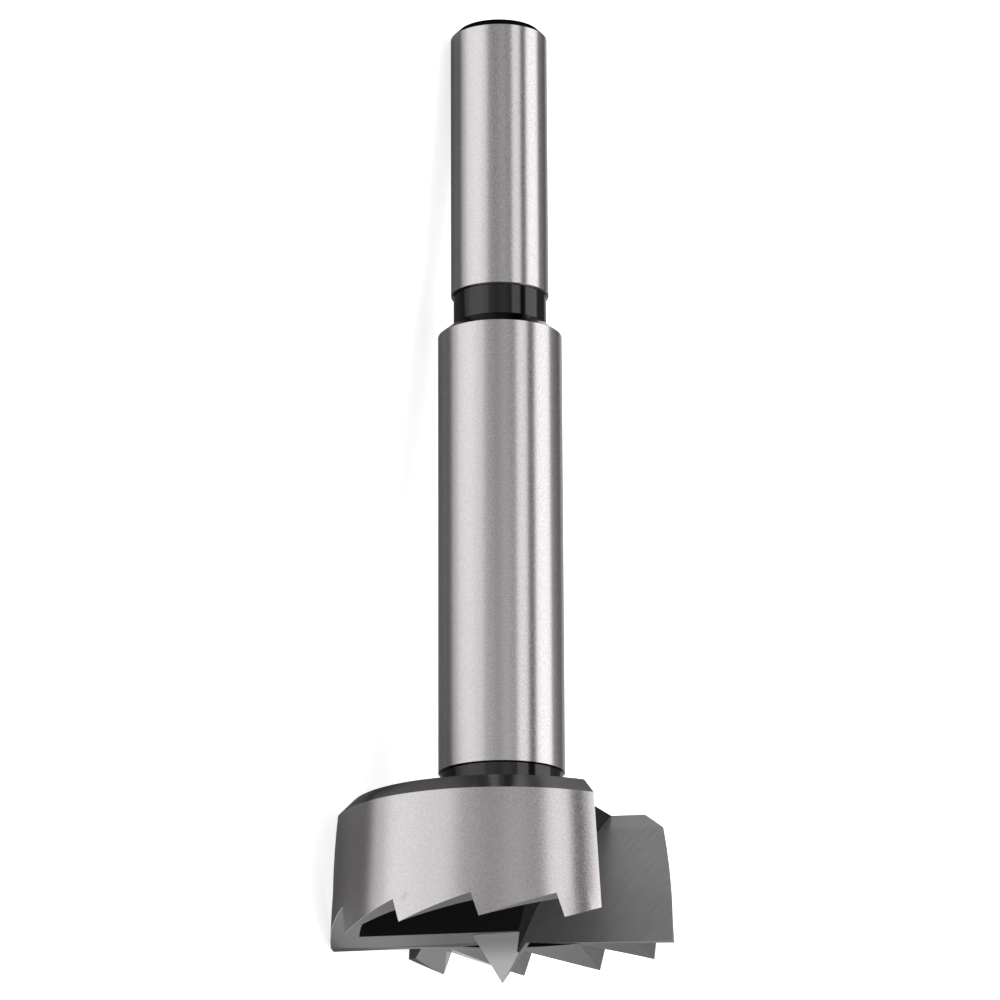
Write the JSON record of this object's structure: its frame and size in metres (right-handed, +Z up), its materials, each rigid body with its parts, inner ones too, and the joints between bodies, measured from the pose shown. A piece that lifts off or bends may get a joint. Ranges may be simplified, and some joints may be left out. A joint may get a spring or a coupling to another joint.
{
  "type": "saw-tooth forstner bit",
  "caption": "Bright steel boring bit with blackened necks: plain round shank and body, and a wide round head with saw teeth along its rim, cutting lips, gullets and a centre spur.",
  "frame": {"origin": "centre of the bounding box's base: the bit lies on its side on a flat surface, touching it with a lip's outer corner, the end of the rim's other half and the edge of the shank's end", "axes": "+Z up, +X level and towards the head and its centre spur, -X towards the shank's end, +Y to the left of a viewer who looks along +X"},
  "size_m": [0.0948, 0.0322, 0.0302],
  "materials": {
    "steel": "ground bright on the shank, body, teeth and lips, with blackened necks, chamfers, head top, pockets and throats"
  },
  "bodies": {
    "root": {"forstner_bit": "steel"}
  },
  "joints": []
}
